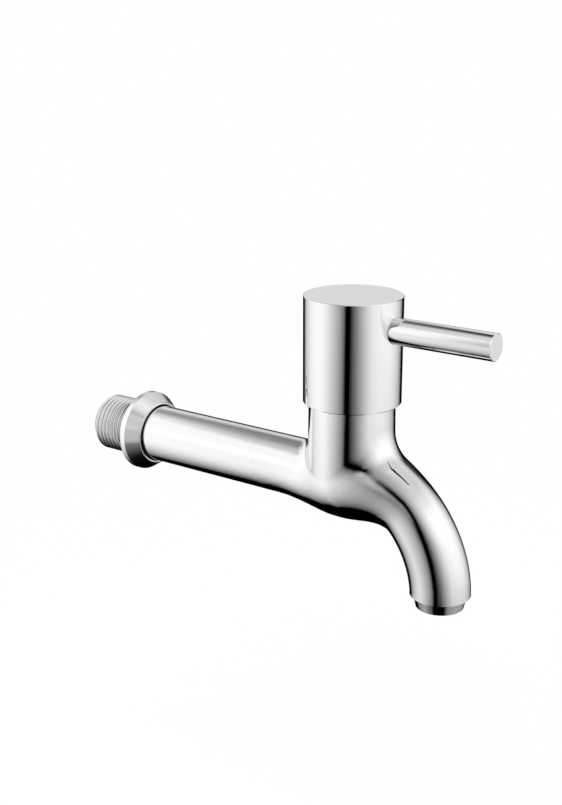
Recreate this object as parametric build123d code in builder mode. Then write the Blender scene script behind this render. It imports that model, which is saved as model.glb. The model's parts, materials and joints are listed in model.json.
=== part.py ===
from build123d import *
import os

# Wall tap with a quarter-turn headwork, in millimetres.
# The inlet axis is the Y axis and the wall plane is y = 0. The thread points to
# +Y, the spout to -Y and +Z is up.

# Inlet stub and pipe
thread_radius = 20.955 / 2
thread_pitch = 1.814
thread_depth = 1.1
thread_crest = 0.3
thread_root = 0.24
thread_length = 18.0
thread_lead_in = 1.3
thread_hidden = 1.2
pipe_step = 0.1575
inlet_bore_radius = 6.6
inlet_bore_end = 22.0

# Housing, neck and spout
valve_distance = 92.7
neck_radius = 14.4
neck_foot_radius = 14.62
neck_top = 31.0
neck_turned = 6.0
neck_bend_shares = (0.87, 0.71)
front_blend = 13.0
back_blend = 5.0
swell_length = 25.0
swell_lead = 1.7
swell_run_up = 8.0
swell_stations = 9
steadying_stations = 2
belly_depth = 13.05
belly_top = 16.4
belly_top_length = 15.7
throat_lead = 10.0
throat_trail = 7.5
throat_hold_share = 0.03
throat_stations = 8
spout_projection = 35.9
spout_drop = 32.3
spout_radius = 10.2
spout_start_share = -0.487
spout_rise_share = 0.383
spout_lead_share = 0.842
spout_lead_height_share = 0.199
spout_turn_share = 0.731
spout_station_share = 0.63
spout_stations = 6

# Waterways in the casting
seat_level = 1.0
seat_hole_radius = 4.6
chamber_radius = 9.5
undercut_depth = 6.6
undercut_radius = 4.4
undercut_shares = ((1.2, 0.0, 1.36), (0.74, 0.5, 1.18), (0.4, 0.92, 1.0), (-0.2, 1.0, 1.0))
spout_bore_radius = 6.6
outlet_shares = ((0.2, 0.73), (0.4, 0.85), (0.55, 0.94), (0.7, 1.0), (0.85, 1.0), (0.99, 1.0))
socket_radius = 8.62
socket_depth = 8.0
assembly_fit = 0.05
running_fit = 0.06
face_play = 0.03
overrun = 2.0

# Wall flange and its grip ring
flange_gap = 0.3
flange_recess_step = 2.4225
flange_recess_depth = 1.4
flange_rim = 2.0
flange_rim_wall = 1.48
flange_depth = 6.9
flange_nose_wall = 0.75
flange_nose_round = 0.5
grip_wire_radius = 0.8
grip_position = 4.0

# Headwork body
headwork_thread_start = 14.0
headwork_thread_depth = 0.8
headwork_thread_length = 15.0
headwork_lower_radius = 8.9
headwork_foot = 2.2
shoulder_level = 13.5
collar_step = 1.1
collar_height = 2.4
hexagon_across_flats = 20.0
hexagon_height = 5.0
nose_radius = 6.6
nose_height = 3.2
stop_wall_inner = 7.3
stop_wall_outer = 9.4
port_height = 3.6
port_width = 8.0
seal_wire_radius = 0.75
seal_recess_depth = 1.55

# Discs and seat seal
seat_seal_height = 2.4
disc_radius = 7.3
fixed_disc_height = 2.6
moving_disc_height = 2.8
disc_hub_radius = 1.6
disc_window_radius = 5.9
disc_window_angle = 76.0

# Stem and its rings
stem_radius = 4.0
driver_radius = 6.9
driver_height = 2.0
stem_shoulder_radius = 5.6
tongue_width = 3.0
tongue_depth = 1.5
tongue_length = 10.0
spline_teeth = 20
spline_depth = 0.45
spline_start = 45.5
spline_length = 9.0
stem_wire_radius = 0.7
stem_seal_levels = (20.0, 25.0)
washer_height = 0.5
washer_radius = 6.7
circlip_height = 0.8
circlip_groove_depth = 0.5
circlip_radius = 5.6
circlip_gap_angle = 50.0
stop_ring_height = 1.4
stop_ring_radius = 6.6
stop_flat = 3.4
stop_lug_radius = 9.1
stop_lug_angle = 40.0
stop_play_angle = 2.0
turn_angle = 90.0

# Handle
cap_wall = 1.59
cap_bottom = 28.0
cap_top = 63.7
cap_edge = 0.25
skirt_gap = 0.35
hub_level = 47.6
lever_level = 54.0
lever_radius = 4.4
lever_reach = 51.74
lever_seat_depth = 1.6
lever_thread_radius = 2.5
lever_edge = 0.25
insert_radius = 6.6
insert_flat = 5.8
insert_head_radius = 8.4
insert_head = 1.6
insert_top = 57.0
set_screw_radius = 2.0
set_screw_length = 5.5
set_screw_flats = 2.0
set_screw_socket = 2.2
guide_ring_height = 2.0

# Aerator
nozzle_shoulder_radius = 9.0
nozzle_tip_radius = 8.07
nozzle_height = 4.26
nozzle_thread_length = 6.0
nozzle_bore_radius = 7.6
nozzle_lip_radius = 6.9
nozzle_lip_height = 2.6
straightener_height = 5.6
straightener_rib = 0.7
straightener_ribs = 8
straightener_ring_shares = (0.68, 0.36)
straightener_hub_share = 0.17
screen_height = 0.35
screen_gap = 0.3
screen_pitch = 1.9
screen_bar = 0.5
screen_rim = 0.8

os.makedirs("parts", exist_ok=True)

pipe_radius = thread_radius - pipe_step
spout_reach = valve_distance + spout_projection
valve = (0, -valve_distance)
valve_axis = Axis((0, -valve_distance, 0), (0, 0, 1))
valve_plane = Plane.XZ.offset(valve_distance)
belly_radius = (belly_top + belly_depth) / 2
belly_height = (belly_top - belly_depth) / 2


def level(height):
    """Plane square to the valve axis at a height."""
    return Plane.XY.offset(height)


def ring(bottom, height, outer, inner):
    """Plain ring round the valve axis."""
    with BuildPart() as piece:
        with BuildSketch(level(bottom)):
            with Locations(valve):
                Circle(outer)
                Circle(inner, mode=Mode.SUBTRACT)
        extrude(amount=height)
    return piece.part


def wire_ring(centre_radius, wire_radius, height):
    """Round-wire ring round the valve axis."""
    with BuildPart() as piece:
        with BuildSketch(Plane.YZ):
            with Locations((-valve_distance + centre_radius, height)):
                Circle(wire_radius)
        revolve(axis=valve_axis)
    return piece.part


# Path of the spout, in the plane x = 0
spout_start = (-valve_distance - spout_start_share * spout_projection, spout_rise_share * spout_drop)
spout_lead = (-valve_distance - spout_lead_share * spout_projection, spout_lead_height_share * spout_drop)
spout_turn = (-spout_reach, -spout_turn_share * spout_drop)
spout_end = (-spout_reach, -spout_drop)
with BuildLine(Plane.YZ):
    spout_path = Bezier(spout_start, spout_lead, spout_turn, spout_end)

# Path of the throat, from the valve axis to the round part of the spout
throat_end = spout_path @ spout_station_share
throat_heading = spout_path % spout_station_share
throat_approach = throat_end - throat_heading * throat_trail
with BuildLine(Plane.YZ):
    throat_path = Bezier(
        (-valve_distance, belly_height),
        (-valve_distance - throat_lead, belly_height),
        (throat_approach.Y, throat_approach.Z),
        (throat_end.Y, throat_end.Z),
    )


def square_to(path, share):
    """Plane square to a path at a share of it."""
    return Plane(origin=path @ share, x_dir=(1, 0, 0), z_dir=path % share)


def smooth_step(share):
    """Share that starts and ends level, from 0 to 1."""
    held = min(max(share, 0), 1)
    return held * held * (3 - 2 * held)


def sector(inner, outer, start, size, mode=Mode.ADD):
    """Ring sector round the valve axis in the current sketch, angles in degrees."""
    with BuildLine() as outline:
        near = CenterArc(valve, inner, start, size)
        far = CenterArc(valve, outer, start, size)
        Line(near @ 0, far @ 0)
        Line(near @ 1, far @ 1)
    make_face(outline.edges(), mode=mode)


def thread_grooves(radius, depth, first, last):
    """V grooves between two places along a thread, in the current sketch."""
    count = int((last - first - thread_crest) / thread_pitch)
    half_mouth = (thread_pitch - thread_crest) / 2
    half_root = thread_root / 2
    start = last - thread_crest - half_mouth
    with Locations(*[(0, start - thread_pitch * index) for index in range(count)]):
        Polygon(
            (radius + overrun, -half_mouth),
            (radius, -half_mouth),
            (radius - depth, -half_root),
            (radius - depth, half_root),
            (radius, half_mouth),
            (radius + overrun, half_mouth),
            align=None,
        )


# Belly, throat and spout in one smooth run. The loft starts a few stations early, inside the pipe's
# length, and is cut where it has settled on the pipe's radius.
swell_end = valve_distance - swell_lead
swell_start = swell_end - swell_length
run_start = swell_start - swell_run_up
belly_top_start = valve_distance - belly_top_length
with BuildPart() as run:
    for index in range(-steadying_stations, swell_stations):
        distance = run_start + (valve_distance - run_start) * index / swell_stations
        bottom_share = smooth_step((distance - swell_start) / swell_length)
        top_share = smooth_step((distance - belly_top_start) / belly_top_length)
        bottom = pipe_radius + bottom_share * (belly_depth - pipe_radius)
        top = pipe_radius + top_share * (belly_top - pipe_radius)
        with BuildSketch(Plane.XZ.offset(distance)):
            with Locations((0, (top - bottom) / 2)):
                Circle((top + bottom) / 2)
    for index in range(throat_stations):
        share = index / throat_stations
        narrowing = smooth_step((share - throat_hold_share) / (1 - throat_hold_share))
        with BuildSketch(square_to(throat_path, share)):
            Circle(belly_radius + narrowing * (spout_radius - belly_radius))
    for index in range(spout_stations + 1):
        share = spout_station_share + (1 - spout_station_share) * index / spout_stations
        with BuildSketch(square_to(spout_path, share)):
            Circle(spout_radius)
    loft()
    split(bisect_by=Plane.XZ.offset(run_start), keep=Keep.TOP)
    with BuildSketch(Plane.XZ):
        Circle(pipe_radius)
    extrude(amount=run_start)


# Neck, a little wider at its foot than where it is turned for the cap
neck_foot_edge = neck_foot_radius - valve_distance
neck_top_edge = neck_radius - valve_distance
foot_bend_share, top_bend_share = neck_bend_shares
with BuildPart() as neck:
    with BuildSketch(Plane.YZ):
        with BuildLine():
            Bezier(
                (neck_foot_edge, 0),
                (neck_foot_edge, foot_bend_share * neck_top),
                (neck_top_edge, top_bend_share * neck_top),
                (neck_top_edge, neck_top),
            )
            Polyline(
                (neck_top_edge, neck_top),
                (-valve_distance, neck_top),
                (-valve_distance, 0),
                (neck_foot_edge, 0),
            )
        make_face()
    revolve(axis=valve_axis)


def housing_half(side, blend):
    """Run on one side of the valve axis, with its half of the neck blended in."""
    with BuildPart() as half:
        add(run.part)
        add(neck.part)
        split(bisect_by=valve_plane, keep=side)
        raised = half.edges().filter_by(lambda edge: edge.bounding_box().min.Z > belly_height)
        junction = raised.filter_by(lambda edge: edge.bounding_box().max.Z < neck_top - neck_turned)
        fillet(junction, blend)
    return half.part


# Casting with the threaded stub, pipe, housing and spout
with BuildPart() as tap_body:
    add(housing_half(Keep.TOP, front_blend))
    add(housing_half(Keep.BOTTOM, back_blend))

    # Threaded stub behind the wall plane
    with BuildSketch(Plane.XY):
        with BuildLine():
            Polyline(
                (0, -thread_hidden),
                (thread_radius, -thread_hidden),
                (thread_radius, thread_length - thread_lead_in),
                (thread_radius - thread_depth, thread_length),
                (0, thread_length),
                close=True,
            )
        make_face()
    revolve(axis=Axis.Y)
    with BuildSketch(Plane.XY):
        thread_grooves(thread_radius, thread_depth, -thread_hidden, thread_length - thread_lead_in)
    revolve(axis=Axis.Y, mode=Mode.SUBTRACT)

    # Inlet bore, and the passage that dips under the valve seat
    with BuildSketch(Plane.XZ.offset(-thread_length - overrun)):
        Circle(inlet_bore_radius)
    extrude(amount=thread_length + overrun + valve_distance - inlet_bore_end, mode=Mode.SUBTRACT)
    for distance_share, depth_share, radius_share in undercut_shares:
        distance = valve_distance - distance_share * inlet_bore_end
        with BuildSketch(Plane.XZ.offset(distance)):
            with Locations((0, -depth_share * undercut_depth)):
                Circle(radius_share * undercut_radius)
    loft(mode=Mode.SUBTRACT)

    # Outlet, from the valve chamber down the spout to the aerator socket
    for share, radius_share in outlet_shares:
        with BuildSketch(square_to(spout_path, share)):
            Circle(radius_share * spout_bore_radius)
    loft(mode=Mode.SUBTRACT)
    with BuildSketch(level(-spout_drop - overrun)):
        with Locations((0, -spout_reach)):
            Circle(socket_radius)
    extrude(amount=overrun + socket_depth, mode=Mode.SUBTRACT)

    # Seat hole, valve chamber and the bore for the headwork thread
    with BuildSketch(level(-undercut_depth)):
        with Locations(valve):
            Circle(seat_hole_radius)
    extrude(amount=undercut_depth + seat_level, mode=Mode.SUBTRACT)
    with BuildSketch(level(seat_level)):
        with Locations(valve):
            Circle(chamber_radius)
    extrude(amount=neck_top - seat_level, mode=Mode.SUBTRACT)
    with BuildSketch(level(headwork_thread_start)):
        with Locations(valve):
            Circle(thread_radius)
    extrude(amount=neck_top - headwork_thread_start, mode=Mode.SUBTRACT)
tap_body.part.label = "tap_body"
export_step(tap_body.part, "parts/tap_body.step")

# Loose rosette that covers the hole in the wall
flange_bore_radius = thread_radius + flange_gap
flange_recess_radius = flange_bore_radius + flange_recess_step
flange_radius = flange_recess_radius + flange_rim_wall
flange_nose_radius = flange_bore_radius + flange_nose_wall
grip_centre_radius = pipe_radius + assembly_fit + grip_wire_radius
grip_groove = 2 * (grip_wire_radius + assembly_fit)
with BuildPart() as wall_flange:
    with BuildSketch(Plane.XY) as flange_section:
        with BuildLine():
            Polyline(
                (flange_bore_radius, -flange_recess_depth),
                (flange_recess_radius, -flange_recess_depth),
                (flange_recess_radius, 0),
                (flange_radius, 0),
                (flange_radius, -flange_rim),
                (flange_nose_radius, -flange_depth),
                (flange_bore_radius, -flange_depth),
                close=True,
            )
        make_face()
        nose = flange_section.vertices().sort_by(Axis.Y)[:2].sort_by(Axis.X)[-1]
        fillet(nose, flange_nose_round)
        with Locations((grip_centre_radius, -grip_position)):
            Rectangle(grip_groove, grip_groove, mode=Mode.SUBTRACT)
    revolve(axis=Axis.Y)
wall_flange.part.label = "wall_flange"
export_step(wall_flange.part, "parts/wall_flange.step")

with BuildPart() as flange_grip_ring:
    with BuildSketch(Plane.XY):
        with Locations((grip_centre_radius, -grip_position)):
            Circle(grip_wire_radius)
    revolve(axis=Axis.Y)
flange_grip_ring.part.label = "flange_grip_ring"
export_step(flange_grip_ring.part, "parts/flange_grip_ring.step")

# Heights of the stack on the valve seat
fixed_disc_level = seat_level + seat_seal_height
moving_disc_level = fixed_disc_level + fixed_disc_height + face_play
driver_level = moving_disc_level + moving_disc_height + face_play
washer_level = shoulder_level - washer_height
collar_level = neck_top
collar_radius = neck_radius - collar_step
hexagon_level = collar_level + collar_height
nose_level = hexagon_level + hexagon_height
nose_top = nose_level + nose_height
stop_ring_level = nose_top + face_play
circlip_level = stop_ring_level + stop_ring_height + face_play
headwork_thread_radius = thread_radius - assembly_fit

# Rubber ring on the valve seat
seat_seal = BuildPart()
with seat_seal:
    add(ring(seat_level, seat_seal_height, disc_radius, seat_hole_radius))
seat_seal.part.label = "seat_seal"
export_step(seat_seal.part, "parts/seat_seal.step")

# Ceramic discs, each with two opposite windows
window_start = -disc_window_angle / 2
with BuildPart() as fixed_disc:
    with BuildSketch(level(fixed_disc_level)):
        with Locations(valve):
            Circle(disc_radius)
        for turn in (0, 180):
            sector(disc_hub_radius, disc_window_radius, window_start + turn, disc_window_angle, Mode.SUBTRACT)
    extrude(amount=fixed_disc_height)
fixed_disc.part.label = "fixed_disc"
export_step(fixed_disc.part, "parts/fixed_disc.step")

with BuildPart() as moving_disc:
    with BuildSketch(level(moving_disc_level)):
        with Locations(valve):
            Circle(disc_radius)
        for turn in (90, 270):
            sector(disc_hub_radius, disc_window_radius, window_start + turn, disc_window_angle, Mode.SUBTRACT)
    extrude(amount=moving_disc_height)
    with BuildSketch(level(moving_disc_level + moving_disc_height)):
        with Locations(valve):
            Rectangle(tongue_length + 2 * assembly_fit, tongue_width + 2 * assembly_fit)
    extrude(amount=-tongue_depth - face_play, mode=Mode.SUBTRACT)
moving_disc.part.label = "moving_disc"
export_step(moving_disc.part, "parts/moving_disc.step")

# Brass headwork: cage for the discs, thread, collar, hexagon, nose and stop wall
stem_bore_radius = stem_radius + running_fit
cage_radius = disc_radius + assembly_fit
headwork_thread_end = headwork_thread_start + headwork_thread_length
stop_wall_top = circlip_level
free_start = -stop_lug_angle / 2 - stop_play_angle
free_angle = stop_lug_angle + turn_angle + 2 * stop_play_angle
with BuildPart() as headwork_body:
    with BuildSketch(level(headwork_foot)):
        with Locations(valve):
            Circle(headwork_lower_radius)
    extrude(amount=headwork_thread_start - headwork_foot)
    with BuildSketch(level(headwork_thread_start)):
        with Locations(valve):
            Circle(headwork_thread_radius)
    extrude(amount=neck_top - headwork_thread_start)
    with BuildSketch(level(collar_level)):
        with Locations(valve):
            Circle(collar_radius)
    extrude(amount=collar_height)
    with BuildSketch(level(hexagon_level)):
        with Locations(valve):
            RegularPolygon(hexagon_across_flats / 2, 6, major_radius=False)
    extrude(amount=hexagon_height)
    with BuildSketch(level(nose_level)):
        with Locations(valve):
            Circle(nose_radius)
    extrude(amount=nose_height)
    with BuildSketch(level(nose_level)):
        sector(stop_wall_inner, stop_wall_outer, free_start + free_angle, 360 - free_angle)
    extrude(amount=stop_wall_top - nose_level)
    with BuildSketch(Plane.YZ):
        with Locations((-valve_distance, 0)):
            thread_grooves(
                headwork_thread_radius, headwork_thread_depth, headwork_thread_start, headwork_thread_end
            )
    revolve(axis=valve_axis, mode=Mode.SUBTRACT)
    with BuildSketch(level(collar_level)):
        with Locations(valve):
            Circle(headwork_thread_radius + 2 * seal_wire_radius + assembly_fit)
            Circle(headwork_thread_radius - assembly_fit, mode=Mode.SUBTRACT)
    extrude(amount=seal_recess_depth, mode=Mode.SUBTRACT)
    with BuildSketch(level(0)):
        with Locations(valve):
            Circle(cage_radius)
    extrude(amount=shoulder_level, mode=Mode.SUBTRACT)
    with BuildSketch(level(0)):
        with Locations(valve):
            Circle(stem_bore_radius)
    extrude(amount=nose_top, mode=Mode.SUBTRACT)
    with BuildSketch(level(shoulder_level - port_height)):
        with Locations(valve):
            Rectangle(2 * chamber_radius, port_width)
    extrude(amount=port_height, mode=Mode.SUBTRACT)
headwork_body.part.label = "headwork_body"
export_step(headwork_body.part, "parts/headwork_body.step")

# Seal under the collar and the ring that centres the cap
seal_centre_radius = headwork_thread_radius + seal_wire_radius
headwork_seal = BuildPart()
with headwork_seal:
    add(wire_ring(seal_centre_radius, seal_wire_radius, neck_top + seal_wire_radius))
headwork_seal.part.label = "headwork_seal"
export_step(headwork_seal.part, "parts/headwork_seal.step")

skirt_radius = neck_radius + skirt_gap
hexagon_corner_radius = hexagon_across_flats / 3 ** 0.5
guide_ring = BuildPart()
with guide_ring:
    add(ring(hexagon_level, guide_ring_height, neck_radius, hexagon_corner_radius + assembly_fit))
guide_ring.part.label = "guide_ring"
export_step(guide_ring.part, "parts/guide_ring.step")

thrust_washer = BuildPart()
with thrust_washer:
    add(ring(washer_level, washer_height, washer_radius, stem_radius + running_fit))
thrust_washer.part.label = "thrust_washer"
export_step(thrust_washer.part, "parts/thrust_washer.step")

# Stem with its driver, seal grooves, circlip groove, stop flats and spline
spline_end = spline_start + spline_length
with BuildPart() as stem:
    with BuildSketch(level(driver_level - tongue_depth)):
        with Locations(valve):
            Rectangle(tongue_length, tongue_width)
    extrude(amount=tongue_depth)
    with BuildSketch(level(driver_level)):
        with Locations(valve):
            Circle(driver_radius)
            Rectangle(2 * driver_radius, driver_radius, mode=Mode.INTERSECT)
    extrude(amount=driver_height)
    with BuildSketch(level(driver_level + driver_height)):
        with Locations(valve):
            Circle(stem_shoulder_radius)
    extrude(amount=washer_level - face_play - driver_level - driver_height)
    with BuildSketch(level(driver_level)):
        with Locations(valve):
            Circle(stem_radius)
    extrude(amount=spline_end - driver_level)
    with BuildSketch(Plane.YZ):
        for seal_level in stem_seal_levels:
            with Locations((-valve_distance + stem_radius, seal_level)):
                Rectangle(4 * stem_wire_radius, 2 * (stem_wire_radius + assembly_fit))
        with Locations((-valve_distance + stem_radius, circlip_level + circlip_height / 2)):
            Rectangle(2 * circlip_groove_depth, circlip_height + 2 * face_play)
    revolve(axis=valve_axis, mode=Mode.SUBTRACT)
    with BuildSketch(level(nose_top)):
        with Locations(valve):
            Circle(stem_radius + overrun)
            Rectangle(2 * (stem_radius + overrun), 2 * stop_flat, mode=Mode.SUBTRACT)
    extrude(amount=circlip_level - nose_top, mode=Mode.SUBTRACT)
    with BuildSketch(level(spline_start)):
        with Locations(valve):
            with PolarLocations(stem_radius, spline_teeth):
                RegularPolygon(spline_depth, 4)
    extrude(amount=spline_length, mode=Mode.SUBTRACT)
stem.part.label = "stem"
export_step(stem.part, "parts/stem.step")

stem_seals = BuildPart()
with stem_seals:
    for seal_level in stem_seal_levels:
        add(wire_ring(stem_radius - stem_wire_radius, stem_wire_radius, seal_level))
stem_seals.part.label = "stem_seals"
export_step(stem_seals.part, "parts/stem_seals.step")

# Keyed ring whose lug meets the stop wall at both ends of the turn
stop_bore_radius = stem_radius + assembly_fit
with BuildPart() as stop_ring:
    with BuildSketch(level(stop_ring_level)):
        with Locations(valve):
            Circle(stop_ring_radius)
        sector(stop_ring_radius - assembly_fit, stop_lug_radius, -stop_lug_angle / 2, stop_lug_angle)
        with BuildSketch(mode=Mode.SUBTRACT):
            with Locations(valve):
                Circle(stop_bore_radius)
                Rectangle(2 * stop_bore_radius, 2 * (stop_flat + assembly_fit), mode=Mode.INTERSECT)
    extrude(amount=stop_ring_height)
stop_ring.part.label = "stop_ring"
export_step(stop_ring.part, "parts/stop_ring.step")

with BuildPart() as circlip:
    with BuildSketch(level(circlip_level)):
        sector(
            stem_radius - circlip_groove_depth + assembly_fit,
            circlip_radius,
            circlip_gap_angle / 2,
            360 - circlip_gap_angle,
        )
    extrude(amount=circlip_height)
circlip.part.label = "circlip"
export_step(circlip.part, "parts/circlip.step")

# Handle cap: thin skirt over the neck, solid hub with sockets for insert, lever and screw
cap_radius = skirt_radius + cap_wall
insert_flat_fit = insert_flat + assembly_fit
cap_front = valve_distance + cap_radius
lever_seat = cap_front - lever_seat_depth
screw_hole_radius = set_screw_radius + assembly_fit
with BuildPart() as handle_cap:
    with BuildSketch(level(cap_bottom)):
        with Locations(valve):
            Circle(cap_radius)
    extrude(amount=cap_top - cap_bottom)
    fillet(handle_cap.faces().sort_by(Axis.Z)[-1].edges(), cap_edge)
    chamfer(handle_cap.faces().sort_by(Axis.Z)[0].edges(), cap_edge)
    with BuildSketch(level(cap_bottom)):
        with Locations(valve):
            Circle(skirt_radius)
    extrude(amount=hub_level - cap_bottom, mode=Mode.SUBTRACT)
    with BuildSketch(level(hub_level)):
        with Locations(valve):
            Circle(insert_radius + assembly_fit)
    extrude(amount=insert_top + assembly_fit - hub_level, mode=Mode.SUBTRACT)
    with BuildSketch(Plane.XZ.offset(lever_seat)):
        with Locations((0, lever_level)):
            Circle(lever_radius + assembly_fit)
    extrude(amount=lever_seat_depth + overrun, mode=Mode.SUBTRACT)
    with BuildSketch(Plane.XZ.offset(valve_distance)):
        with Locations((0, lever_level)):
            Circle(lever_thread_radius + assembly_fit)
    extrude(amount=cap_radius, mode=Mode.SUBTRACT)
    with BuildSketch(Plane.XZ.offset(valve_distance)):
        with Locations((0, lever_level)):
            Circle(screw_hole_radius)
    extrude(amount=-cap_radius - overrun, mode=Mode.SUBTRACT)
handle_cap.part.label = "handle_cap"
export_step(handle_cap.part, "parts/handle_cap.step")

# Pin lever with a threaded end that clamps the insert
lever_end = valve_distance + lever_reach
with BuildPart() as handle_lever:
    with BuildSketch(Plane.XZ.offset(lever_seat)):
        with Locations((0, lever_level)):
            Circle(lever_radius)
    extrude(amount=lever_end - lever_seat)
    chamfer(handle_lever.faces().sort_by(Axis.Y)[0].edges(), lever_edge)
    with BuildSketch(Plane.XZ.offset(valve_distance + insert_flat_fit)):
        with Locations((0, lever_level)):
            Circle(lever_thread_radius)
    extrude(amount=lever_seat - valve_distance - insert_flat_fit)
handle_lever.part.label = "handle_lever"
export_step(handle_lever.part, "parts/handle_lever.step")

# Insert that carries the female spline
with BuildPart() as spline_insert:
    with BuildSketch(level(hub_level - insert_head)):
        with Locations(valve):
            Circle(insert_head_radius)
    extrude(amount=insert_head)
    with BuildSketch(level(hub_level)):
        with Locations(valve):
            Circle(insert_radius)
            Rectangle(2 * insert_radius, 2 * insert_flat, mode=Mode.INTERSECT)
    extrude(amount=insert_top - hub_level)
    with BuildSketch(level(hub_level - insert_head)):
        with Locations(valve):
            Circle(stem_radius + assembly_fit)
            with PolarLocations(stem_radius, spline_teeth):
                RegularPolygon(spline_depth - 2 * assembly_fit, 4, mode=Mode.SUBTRACT)
    extrude(amount=spline_end + assembly_fit - hub_level + insert_head, mode=Mode.SUBTRACT)
spline_insert.part.label = "spline_insert"
export_step(spline_insert.part, "parts/spline_insert.step")

# Grub screw at the back of the cap
screw_tip = -valve_distance + insert_flat_fit
with BuildPart() as set_screw:
    with BuildSketch(Plane.XZ.offset(-screw_tip)):
        with Locations((0, lever_level)):
            Circle(set_screw_radius)
    extrude(amount=-set_screw_length)
    with BuildSketch(Plane.XZ.offset(-screw_tip - set_screw_length)):
        with Locations((0, lever_level)):
            RegularPolygon(set_screw_flats / 2, 6, major_radius=False)
    extrude(amount=set_screw_socket, mode=Mode.SUBTRACT)
set_screw.part.label = "set_screw"
export_step(set_screw.part, "parts/set_screw.step")

# Nozzle ring, screwed into the spout
outlet = (0, -spout_reach)
spout_face = -spout_drop
nozzle_tip = spout_face - nozzle_height
nozzle_thread_radius = socket_radius - assembly_fit
lip_level = nozzle_tip + nozzle_lip_height
outlet_axis = Axis((0, -spout_reach, 0), (0, 0, 1))
with BuildPart() as aerator_ring:
    with BuildSketch(Plane.YZ):
        with Locations((-spout_reach, 0)):
            Polygon(
                (nozzle_lip_radius, nozzle_tip),
                (nozzle_tip_radius, nozzle_tip),
                (nozzle_shoulder_radius, spout_face),
                (nozzle_thread_radius, spout_face),
                (nozzle_thread_radius, spout_face + nozzle_thread_length),
                (nozzle_bore_radius, spout_face + nozzle_thread_length),
                (nozzle_bore_radius, lip_level),
                (nozzle_lip_radius, lip_level),
                align=None,
            )
    revolve(axis=outlet_axis)
aerator_ring.part.label = "aerator_ring"
export_step(aerator_ring.part, "parts/aerator_ring.step")

# Plastic flow straightener on the lip of the nozzle
straightener_radius = nozzle_bore_radius - assembly_fit
with BuildPart() as flow_straightener:
    with BuildSketch(level(lip_level)):
        with Locations(outlet):
            for ring_share in (1,) + straightener_ring_shares:
                outer = ring_share * straightener_radius
                Circle(outer)
                Circle(outer - straightener_rib, mode=Mode.SUBTRACT)
            with PolarLocations(straightener_radius / 2, straightener_ribs):
                Rectangle(straightener_radius - straightener_rib, straightener_rib)
            Circle(straightener_hub_share * straightener_radius)
    extrude(amount=straightener_height)
flow_straightener.part.label = "flow_straightener"
export_step(flow_straightener.part, "parts/flow_straightener.step")

# Fine screens above the straightener
screen_count = int(2 * straightener_radius / screen_pitch)
screen_hole = screen_pitch - screen_bar
straightener_top = lip_level + straightener_height
with BuildPart() as aerator_screens:
    for screen_level in (straightener_top, straightener_top + screen_height + screen_gap):
        with BuildSketch(level(screen_level)):
            with Locations(outlet):
                Circle(straightener_radius)
                with GridLocations(screen_pitch, screen_pitch, screen_count, screen_count):
                    Rectangle(screen_hole, screen_hole, mode=Mode.SUBTRACT)
            with BuildSketch():
                with Locations(outlet):
                    Circle(straightener_radius)
                    Circle(straightener_radius - screen_rim, mode=Mode.SUBTRACT)
        extrude(amount=screen_height)
aerator_screens.part.label = "aerator_screens"
export_step(aerator_screens.part, "parts/aerator_screens.step")

# Rubber washer between the nozzle and the floor of the socket
washer_floor = spout_face + nozzle_thread_length
with BuildPart() as aerator_washer:
    with BuildSketch(level(washer_floor)):
        with Locations(outlet):
            Circle(nozzle_thread_radius)
            Circle(spout_bore_radius, mode=Mode.SUBTRACT)
    extrude(amount=spout_face + socket_depth - washer_floor)
aerator_washer.part.label = "aerator_washer"
export_step(aerator_washer.part, "parts/aerator_washer.step")
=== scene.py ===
import bpy
import json
from math import atan2, cos, degrees, pi, radians, sin
from mathutils import Matrix, Vector


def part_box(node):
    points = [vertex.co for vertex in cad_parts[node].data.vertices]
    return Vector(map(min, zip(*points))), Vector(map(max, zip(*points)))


# Looks of a chrome wall tap: finishes, studio and camera. Lengths are in metres.
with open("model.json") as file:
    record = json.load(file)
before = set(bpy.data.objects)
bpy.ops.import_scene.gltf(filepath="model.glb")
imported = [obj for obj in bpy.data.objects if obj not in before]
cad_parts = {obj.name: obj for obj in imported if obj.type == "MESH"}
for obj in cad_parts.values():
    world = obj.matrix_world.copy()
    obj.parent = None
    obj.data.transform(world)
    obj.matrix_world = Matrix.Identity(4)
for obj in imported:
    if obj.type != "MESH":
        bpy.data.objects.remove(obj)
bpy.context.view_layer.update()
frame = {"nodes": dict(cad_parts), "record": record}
nodes = frame["nodes"]
mm = 0.001

# Places read from the frame
flange_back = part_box("wall_flange")[1].y
cap_low, cap_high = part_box("handle_cap")
valve_y = (cap_low.y + cap_high.y) / 2

# Picture and camera, fitted to the photograph
image_width, image_height = 562, 805
principal_x, principal_y = 298.5, 449.5
focal_pixels = 1250.67
camera_turn = radians(-54.3)
camera_rise = radians(19.37)
camera_place = Vector((-0.33223, -0.30955, 0.15017))
camera_near = 0.01
sensor = 36.0

# World and floor: the level that lights the part, and the one that is seen
world_light = 0.85
white = 1.0
floor_level = -0.16
floor_size = 60.0
floor_colour = 0.94
# The floor keeps its shadow up to the first distance, and is all background from the second
shadow_full, shadow_gone = 0.15, 0.6
near_glow = 0.8

# Lamps
lamp_size = (1.2, 1.2)
key_place, key_power = (-0.9, -0.2, 1.5), 9.0
fill_place, fill_power = (1.0, -1.2, 1.1), 5.0
panel_place, panel_target = (-0.277, -0.12, 0.085), (0, 0, 0.035)
panel_size, panel_power = (0.2, 0.48), 0.115

# Light tent
tent_centre = Vector((0, 0.03, 0.08))
tent_radius = 0.5
tent_strength = 1.15
tent_segments, tent_rings = 96, 48

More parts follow.
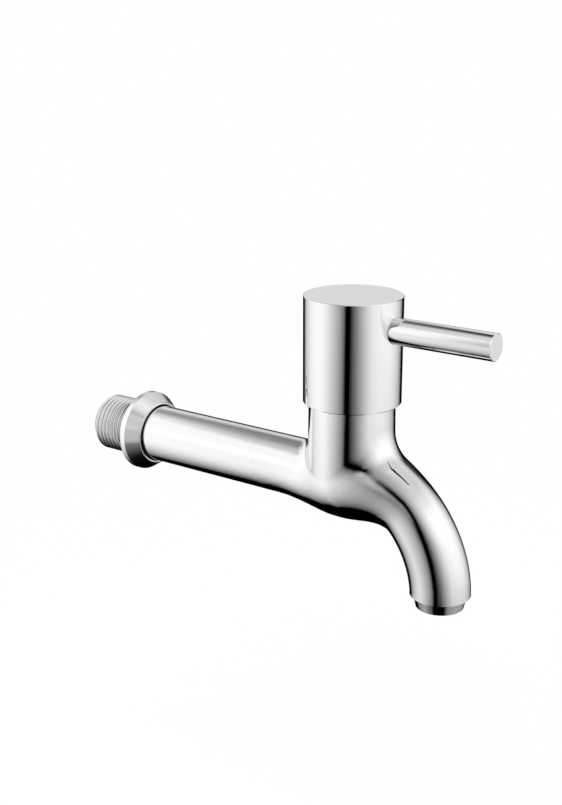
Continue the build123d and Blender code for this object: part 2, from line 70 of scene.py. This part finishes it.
# Chrome: its two shades (share of the level, warmth), the shares of a finish's own roughness
# that the haze goes between, and the roughness that hairlines, bare metal and thread add
haze_shades = ((0.985, -0.006), (1.015, -0.002))
haze_dulling = (0.6, 1.3)
hairline_dulling = 0.008
bare_dulling = 0.28
thread_dulling = 0.2
# Grey that the bottom of the thread's grooves is painted towards: painted shade
thread_root_painted_shade = 0.55

# Edges between plated and unplated metal. They lie inside the walls
inlet_bore_radius = 6.65 * mm
inlet_wall_margin = 0.5 * mm
chamber_radius = 10.6 * mm
flange_recess_radius = 13.25 * mm
flange_recess_depth = 1.45 * mm
flange_bore_radius = 10.85 * mm
cap_inner_radius = 14.8 * mm
cap_ceiling = 47.7 * mm
# The thread's colour is painted darker from its crests to the bottom of its grooves, as painted
# shade
thread_root_radius = 9.4 * mm
thread_crest_radius = 10.35 * mm


class Tree:
    """Short way to write a node tree."""

    def __init__(self, tree):
        self.tree = tree
        tree.nodes.clear()

    def add(self, kind, **settings):
        node = self.tree.nodes.new(kind)
        for name, value in settings.items():
            setattr(node, name, value)
        return node

    def link(self, source, target):
        self.tree.links.new(source, target)

    def feed(self, socket, value):
        """Links an output to an input, or sets a plain value there."""
        if isinstance(value, bpy.types.NodeSocket):
            self.link(value, socket)
        else:
            socket.default_value = value

    def math(self, operation, first, second=0.0, third=0.0, clamp=False):
        node = self.add("ShaderNodeMath", operation=operation, use_clamp=clamp)
        for socket, value in zip(node.inputs, (first, second, third)):
            self.feed(socket, value)
        return node.outputs[0]

    def position(self, scale=1.0):
        """Place on the object in metres, times a scale."""
        source = self.add("ShaderNodeTexCoord").outputs["Object"]
        node = self.add("ShaderNodeVectorMath", operation="SCALE")
        self.feed(node.inputs[0], source)
        node.inputs["Scale"].default_value = scale
        return node.outputs[0]

    def millimetres(self):
        return self.position(1000.0)

    def noise(self, vector, scale, detail, rough):
        node = self.add("ShaderNodeTexNoise")
        self.feed(node.inputs["Vector"], vector)
        node.inputs["Scale"].default_value = scale
        node.inputs["Detail"].default_value = detail
        node.inputs["Roughness"].default_value = rough
        return node.outputs["Fac"]

    def spread(self, value, low, high):
        """Takes a value from 0..1 to low..high."""
        node = self.add("ShaderNodeMapRange")
        self.feed(node.inputs["Value"], value)
        node.inputs["To Min"].default_value = low
        node.inputs["To Max"].default_value = high
        return node.outputs[0]

    def ease(self, value, start, end, low=0.0, high=1.0):
        """Takes a value smoothly from start..end to low..high."""
        node = self.add("ShaderNodeMapRange", interpolation_type="SMOOTHSTEP")
        self.feed(node.inputs["Value"], value)
        node.inputs["From Min"].default_value = start
        node.inputs["From Max"].default_value = end
        node.inputs["To Min"].default_value = low
        node.inputs["To Max"].default_value = high
        return node.outputs[0]

    def mix(self, share, first, second):
        """Colour between two colours."""
        node = self.add("ShaderNodeMix", data_type="RGBA")
        self.feed(node.inputs["Factor"], share)
        self.feed(node.inputs["A"], first)
        self.feed(node.inputs["B"], second)
        return node.outputs["Result"]

    def ramp(self, value, stops):
        """Grey ramp with (place, level) stops."""
        node = self.add("ShaderNodeValToRGB")
        elements = node.color_ramp.elements
        for index, (place, shade) in enumerate(stops):
            if index < 2:
                stop = elements[index]
                stop.position = place
            else:
                stop = elements.new(place)
            stop.color = (shade, shade, shade, 1)
        self.feed(node.inputs[0], value)
        return node.outputs[0]

    def bump(self, height, strength, distance):
        node = self.add("ShaderNodeBump")
        node.inputs["Strength"].default_value = strength
        node.inputs["Distance"].default_value = distance
        self.feed(node.inputs["Height"], height)
        return node.outputs[0]

    def seen(self):
        """1 for rays that come from the camera, a reflection or clear material."""
        rays = self.add("ShaderNodeLightPath").outputs
        camera_or_glossy = self.math("MAXIMUM", rays["Is Camera Ray"], rays["Is Glossy Ray"])
        return self.math("MAXIMUM", camera_or_glossy, rays["Is Transmission Ray"])


def new_material(name):
    """New node material and its empty tree."""
    made = bpy.data.materials.new(name)
    made.use_nodes = True
    return made, Tree(made.node_tree)


def material(name):
    """New Principled material: the material, its tree and its shader."""
    made, tree = new_material(name)
    shader = tree.add("ShaderNodeBsdfPrincipled")
    output = tree.add("ShaderNodeOutputMaterial")
    tree.link(shader.outputs[0], output.inputs[0])
    return made, tree, shader


def grey(level, warmth=0.0):
    """Near-neutral colour, warmer or cooler."""
    return (level * (1 + warmth), level, level * (1 - warmth), 1)


def chrome(name, level, roughness, inside=None, bare=None, thread=None):
    """Bright chrome plate with a faint haze and hairlines.

    inside(tree) gives the share of unplated metal, with its two colours in bare (on the flange a
    near-black grey that is partly painted shade), and thread(tree) the share of satin thread and
    of its groove bottoms, whose colour is painted darker as shade.
    """
    made, tree, shader = material(name)
    place = tree.millimetres()
    haze = tree.noise(place, scale=0.08, detail=4.0, rough=0.6)
    fine = tree.noise(place, scale=3.0, detail=2.0, rough=0.5)
    shades = [grey(level * share, warmth) for share, warmth in haze_shades]
    colour = tree.mix(haze, *shades)
    hazy = tree.spread(haze, *[roughness * share for share in haze_dulling])
    dull = tree.math("ADD", hazy, tree.spread(fine, 0.0, hairline_dulling))
    if inside:
        share = inside(tree)
        colour = tree.mix(share, colour, tree.mix(haze, *bare))
        dull = tree.math("MULTIPLY_ADD", share, bare_dulling, dull)
    if thread:
        satin, root_painted_shade = thread(tree)
        # Painted shade: the thread's colour goes darker towards the bottom of its grooves
        colour = tree.mix(root_painted_shade, colour, grey(thread_root_painted_shade))
        dull = tree.math("MULTIPLY_ADD", satin, thread_dulling, dull)
    shader.inputs["Metallic"].default_value = 1.0
    tree.link(colour, shader.inputs["Base Color"])
    tree.link(dull, shader.inputs["Roughness"])
    tree.link(tree.bump(fine, strength=0.02, distance=0.02 * mm), shader.inputs["Normal"])
    return made


def axis_distance(tree, axes, centre):
    """Distance from an axis in metres, and the split place. axes are the two that cross it."""
    split = tree.add("ShaderNodeSeparateXYZ")
    tree.link(tree.position(), split.inputs[0])
    squares = []
    for axis, place in zip(axes, centre):
        offset = tree.math("SUBTRACT", split.outputs[axis], place)
        squares.append(tree.math("MULTIPLY", offset, offset))
    return tree.math("SQRT", tree.math("ADD", *squares)), split


def pipe_distance(tree):
    """Distance from the pipe's axis, and the place along it."""
    distance, split = axis_distance(tree, ("X", "Z"), (0.0, 0.0))
    return distance, split.outputs["Y"]


def body_inside(tree):
    """1 on the wall of the inlet's bore."""
    distance, along = pipe_distance(tree)
    in_bore = tree.math("LESS_THAN", distance, inlet_bore_radius)
    behind = tree.math("GREATER_THAN", along, valve_y + chamber_radius)
    return tree.math("MULTIPLY", in_bore, behind)


def thread_satin_and_root_shade(tree):
    """1 on the cut thread behind the flange, and a share of painted shade that rises to 1 at the
    bottom of its grooves.
    """
    distance, along = pipe_distance(tree)
    # Painted shade in the grooves: 0 at the crests, 1 at the bottom
    depth = tree.ease(distance, thread_crest_radius, thread_root_radius)
    outside = tree.math("GREATER_THAN", distance, inlet_bore_radius + inlet_wall_margin)
    behind = tree.math("GREATER_THAN", along, flange_back - flange_recess_depth)
    satin = tree.math("MULTIPLY", outside, behind)
    return satin, tree.math("MULTIPLY", satin, depth)


def flange_inside(tree):
    """1 in the flange's recess and bore: unplated metal, whose near-black colour is painted shade
    in the recess and round the pipe.
    """
    distance, along = pipe_distance(tree)
    in_recess = tree.math("LESS_THAN", distance, flange_recess_radius)
    behind = tree.math("GREATER_THAN", along, flange_back - flange_recess_depth)
    in_bore = tree.math("LESS_THAN", distance, flange_bore_radius)
    return tree.math("MAXIMUM", tree.math("MULTIPLY", in_recess, behind), in_bore)


def cap_inside(tree):
    """1 on the inner wall and ceiling of the handle cap."""
    distance, split = axis_distance(tree, ("X", "Y"), (0.0, valve_y))
    inner = tree.math("LESS_THAN", distance, cap_inner_radius)
    below = tree.math("LESS_THAN", split.outputs["Z"], cap_ceiling)
    return tree.math("MULTIPLY", inner, below)


def brass_turned(name):
    """Turned brass with fine tool rings along the valve axis."""
    made, tree, shader = material(name)
    place = tree.millimetres()
    blotch = tree.noise(place, scale=0.15, detail=4.0, rough=0.6)
    rings = tree.add("ShaderNodeTexWave", bands_direction="Z")
    tree.feed(rings.inputs["Vector"], place)
    rings.inputs["Scale"].default_value = 2.2
    rings.inputs["Distortion"].default_value = 0.4
    colour = tree.mix(blotch, (0.66, 0.48, 0.22, 1), (0.82, 0.63, 0.32, 1))
    grooves = tree.bump(rings.outputs["Fac"], strength=0.15, distance=0.02 * mm)
    tree.link(colour, shader.inputs["Base Color"])
    tree.link(tree.spread(blotch, low=0.2, high=0.36), shader.inputs["Roughness"])
    tree.link(grooves, shader.inputs["Normal"])
    shader.inputs["Metallic"].default_value = 1.0
    return made


def steel_brushed(name):
    """Stainless steel with fine brushed streaks."""
    made, tree, shader = material(name)
    stretch = tree.add("ShaderNodeMapping")
    tree.feed(stretch.inputs["Vector"], tree.millimetres())
    stretch.inputs["Scale"].default_value = (6.0, 6.0, 0.4)
    streaks = tree.noise(stretch.outputs[0], scale=1.4, detail=5.0, rough=0.6)
    tree.link(tree.mix(streaks, grey(0.50), grey(0.66)), shader.inputs["Base Color"])
    tree.link(tree.spread(streaks, low=0.22, high=0.42), shader.inputs["Roughness"])
    tree.link(tree.bump(streaks, strength=0.2, distance=0.01 * mm), shader.inputs["Normal"])
    shader.inputs["Metallic"].default_value = 1.0
    return made


def rubber(name):
    """Black rubber with a powdery skin."""
    made, tree, shader = material(name)
    place = tree.millimetres()
    dust = tree.noise(place, scale=0.9, detail=5.0, rough=0.65)
    pores = tree.noise(place, scale=9.0, detail=2.0, rough=0.5)
    tree.link(tree.mix(dust, grey(0.018), grey(0.055)), shader.inputs["Base Color"])
    tree.link(tree.spread(dust, low=0.55, high=0.85), shader.inputs["Roughness"])
    tree.link(tree.bump(pores, strength=0.35, distance=0.03 * mm), shader.inputs["Normal"])
    return made


def moulded(name, low, high, roughness, grain):
    """Plastic or ceramic: two close colours, a roughness and a grain height."""
    made, tree, shader = material(name)
    place = tree.millimetres()
    cloud = tree.noise(place, scale=0.35, detail=4.0, rough=0.55)
    skin = tree.noise(place, scale=7.0, detail=3.0, rough=0.5)
    dull = tree.spread(skin, low=roughness * 0.8, high=roughness * 1.2)
    tree.link(tree.mix(cloud, (*low, 1), (*high, 1)), shader.inputs["Base Color"])
    tree.link(dull, shader.inputs["Roughness"])
    tree.link(tree.bump(skin, strength=0.25, distance=grain), shader.inputs["Normal"])
    return made


brass_bare = ((0.60, 0.43, 0.20, 1), (0.76, 0.57, 0.28, 1))
# The flange's unplated recess and bore, coloured near-black as painted shade in the recess and in
# the gap round the pipe
flange_bare_with_painted_shade = (grey(0.10), grey(0.17))
finishes = {
    "chrome_body": chrome("chrome_body", 0.88, 0.045, body_inside, brass_bare, thread_satin_and_root_shade),
    "chrome_flange": chrome("chrome_flange", 0.90, 0.24, flange_inside, flange_bare_with_painted_shade),
    "chrome_handle": chrome("chrome_handle", 0.885, 0.03),
    "chrome_cap": chrome("chrome_cap", 0.885, 0.03, cap_inside, brass_bare),
    "chrome_nozzle": chrome("chrome_nozzle", 0.86, 0.05),
    "brass": brass_turned("brass_turned"),
    "steel": steel_brushed("steel_brushed"),
    "rubber": rubber("rubber_black"),
    "nylon": moulded("nylon_ivory", (0.78, 0.76, 0.70), (0.84, 0.83, 0.78), 0.45, 0.02 * mm),
    "acetal": moulded("acetal_white", (0.76, 0.78, 0.79), (0.83, 0.84, 0.85), 0.38, 0.01 * mm),
    "ceramic": moulded("ceramic_white", (0.84, 0.83, 0.80), (0.90, 0.89, 0.87), 0.12, 0.004 * mm),
}
# The cap shares its slot with the lever, but is bare brass inside
own_finish = {"handle_cap": "chrome_cap"}
for part in frame["record"]["subparts"]:
    name = part["node"]
    finish = own_finish.get(name, part["material_slot"])
    slots = nodes[name].data.materials
    for index in range(len(slots)):
        slots[index] = finishes[finish]

# Camera
right = Vector((cos(camera_turn), sin(camera_turn), 0))
back = Vector((
    sin(camera_turn) * cos(camera_rise),
    -cos(camera_turn) * cos(camera_rise),
    sin(camera_rise),
))
up = back.cross(right)
facing = Matrix((right, up, back)).transposed().to_4x4()
lens = bpy.data.cameras.new("camera")
lens.sensor_width = sensor
lens.lens = focal_pixels / image_height * sensor
lens.shift_x = (image_width / 2 - principal_x) / image_height
lens.shift_y = (principal_y - image_height / 2) / image_height
lens.clip_start = camera_near
camera = bpy.data.objects.new("camera", lens)
camera.matrix_world = Matrix.Translation(camera_place) @ facing
scene = bpy.context.scene
scene.collection.objects.link(camera)
scene.camera = camera

# World: white where it is seen, a plain level where it lights
world = bpy.data.worlds.new("studio")
world.use_nodes = True
scene.world = world
sky = Tree(world.node_tree)
background = sky.add("ShaderNodeBackground")
background.inputs["Color"].default_value = grey(white)
sky.link(sky.spread(sky.seen(), world_light, white), background.inputs["Strength"])
sky.link(background.outputs[0], sky.add("ShaderNodeOutputWorld").inputs[0])

# Floor: pale, white where it is seen from afar, and it keeps the shadow near the part
floor_finish, ground = new_material("floor_white")
paper = ground.add("ShaderNodeBsdfDiffuse")
paper.inputs["Color"].default_value = grey(floor_colour)
glow = ground.add("ShaderNodeEmission")
glow.inputs["Strength"].default_value = white
away = ground.add("ShaderNodeVectorMath", operation="LENGTH")
ground.link(ground.position(), away.inputs[0])
far = ground.ease(away.outputs["Value"], shadow_full, shadow_gone, low=near_glow)
both = ground.add("ShaderNodeMixShader")
ground.link(ground.math("MULTIPLY", ground.seen(), far), both.inputs[0])
ground.link(paper.outputs[0], both.inputs[1])
ground.link(glow.outputs[0], both.inputs[2])
ground.link(both.outputs[0], ground.add("ShaderNodeOutputMaterial").inputs[0])


def stage_object(name, mesh, finish):
    made = bpy.data.objects.new(name, mesh)
    mesh.materials.append(finish)
    scene.collection.objects.link(made)
    return made


half = floor_size / 2
corners = [(x * half, y * half, floor_level) for x, y in ((-1, -1), (1, -1), (1, 1), (-1, 1))]
floor_mesh = bpy.data.meshes.new("floor")
floor_mesh.from_pydata(corners, [], [(0, 1, 2, 3)])
floor = stage_object("floor", floor_mesh, floor_finish)
floor.visible_glossy = False

# Light tent for the reflections: white cloth round the part, with a dark gap at the camera,
# dark corners behind and a dark foot. Each row gives (degrees from the camera, level),
# counter-clockwise seen from above. The stops were written and rounded, against a table
# of how bright the photo's chrome is in each mirrored direction.
low_row = (
    (-180, 0.0), (-156, 0.0), (-151, 0.15), (-146, 0.42), (-138, 0.58), (-122, 0.75),
    (-105, 0.89), (-90, 0.94), (-70, 0.95), (-58, 0.87), (-44, 0.71), (-30, 0.52), (-18, 0.34),
    (-10, 0.17), (-5, 0.0), (3, 0.0), (7, 0.06), (13, 0.24), (20, 0.43), (32, 0.70), (45, 0.90),
    (62, 1.0), (80, 1.0), (95, 0.87), (109, 0.63), (119, 0.38), (124, 0.12), (128, 0.0),
    (180, 0.0),
)
middle_row = (
    (-180, 0.66), (-164, 0.72), (-148, 0.97), (-60, 1.0), (-50, 0.95), (-44, 0.50), (-35, 0.36),
    (-18, 0.37), (-9, 0.48), (-5, 0.24), (-2, 0.0), (3, 0.0), (7, 0.17), (13, 0.36), (20, 0.54),
    (30, 0.76), (42, 0.96), (55, 1.0), (82, 1.0), (95, 0.84), (109, 0.54), (118, 0.24),
    (124, 0.04), (136, 0.04), (146, 0.50), (160, 0.66), (180, 0.66),
)
upper_row = (
    (-180, 0.18), (-156, 0.33), (-140, 0.60), (-128, 0.82), (-105, 0.94), (-52, 0.92),
    (-40, 0.45), (-28, 0.12), (-9, 0.28), (8, 0.34), (20, 0.44), (36, 0.58), (58, 0.66),
    (80, 0.58), (98, 0.64), (115, 0.70), (140, 0.62), (155, 0.70), (168, 0.30), (180, 0.18),
)
top_row = (
    (-180, 0.12), (-156, 0.25), (-138, 0.40), (-120, 0.52), (-90, 0.60), (-55, 0.66),
    (-30, 0.45), (0, 0.60), (12, 0.76), (45, 0.82), (70, 0.88), (95, 0.78), (130, 0.65),
    (148, 0.35), (160, 0.03), (180, 0.08),
)
# Each row passes into the next between these heights, in degrees above level
row_joins = ((-6, 11), (14, 38), (44, 60))
# The cloth's lower edge, in degrees below level, and how far above it the cloth is fully lit
foot_row = (
    (-180, 42), (-148, 55), (-122, 70), (-60, 76), (-9, 66), (-2, 44), (15, 36), (45, 52),
    (110, 52), (150, 44), (180, 42),
)
foot_fade = 60.0
full_turn, quarter_turn = 360.0, 90.0    # degrees. A ramp goes once round, and holds 0 to 1

tent_finish, cover = new_material("tent_light")
split = cover.add("ShaderNodeSeparateXYZ")
cover.link(cover.position(1 / tent_radius), split.inputs[0])
heading = cover.math("ARCTAN2", split.outputs["Y"], split.outputs["X"])
from_camera = cover.math("SUBTRACT", heading, atan2(back.y, back.x))
turn = cover.math("MULTIPLY_ADD", cover.math("WRAP", from_camera, pi, -pi), 0.5 / pi, 0.5)
rise = cover.math("MULTIPLY", cover.math("ARCSINE", split.outputs["Z"]), degrees(1))


def row_ramp(row, full=1.0):
    """Level round the tent, as a share of full."""
    return cover.ramp(turn, [(0.5 + angle / full_turn, level / full) for angle, level in row])


cloth = row_ramp(low_row)
for row, (start, end) in zip((middle_row, upper_row, top_row), row_joins):
    cloth = cover.mix(cover.ease(rise, start, end), cloth, row_ramp(row))
foot = row_ramp(foot_row, quarter_turn)
above_foot = cover.math("MULTIPLY_ADD", foot, quarter_turn, rise)
unlit = cover.math("MULTIPLY_ADD", above_foot, -1 / foot_fade, 1.0, clamp=True)
lit = cover.math("SUBTRACT", 1.0, cover.math("MULTIPLY", unlit, unlit))
tent_light = cover.add("ShaderNodeEmission")
cover.link(cloth, tent_light.inputs["Color"])
cover.link(cover.math("MULTIPLY", lit, tent_strength), tent_light.inputs["Strength"])
cover.link(tent_light.outputs[0], cover.add("ShaderNodeOutputMaterial").inputs[0])
bpy.ops.mesh.primitive_uv_sphere_add(
    segments=tent_segments, ring_count=tent_rings, radius=tent_radius, location=tent_centre,
)
tent = bpy.context.object
tent.name = "light_tent"
tent.data.materials.append(tent_finish)
# Only reflections see it
tent.visible_camera = False
tent.visible_diffuse = False
tent.visible_shadow = False
tent.visible_transmission = False
tent.visible_volume_scatter = False


def soft_lamp(name, place, size, power, target=(0, valve_y, 0)):
    """Soft lamp aimed at the part, unseen by the camera and by reflections."""
    light = bpy.data.lights.new(name, "AREA")
    light.shape = "RECTANGLE"
    light.size, light.size_y = size
    light.energy = power
    lamp = bpy.data.objects.new(name, light)
    lamp.location = place
    aim = Vector(place) - Vector(target)
    lamp.rotation_euler = aim.to_track_quat("Z", "Y").to_euler()
    lamp.visible_camera = False
    lamp.visible_glossy = False
    scene.collection.objects.link(lamp)
    return lamp


soft_lamp("key_lamp", key_place, lamp_size, key_power)
soft_lamp("fill_lamp", fill_place, lamp_size, fill_power)

# A small panel linked to the flange alone. No lamp in a real room does that: it is there because
# the photo's cone is light where the cap, facing the same way, has its black stripe.
flange_panel = soft_lamp("flange_panel", panel_place, panel_size, panel_power, panel_target)
flange_panel.visible_glossy = True
lit_by_panel = bpy.data.collections.new("lit_by_panel")
lit_by_panel.objects.link(nodes["wall_flange"])
flange_panel.light_linking.receiver_collection = lit_by_panel

scene.view_settings.view_transform = "Standard"
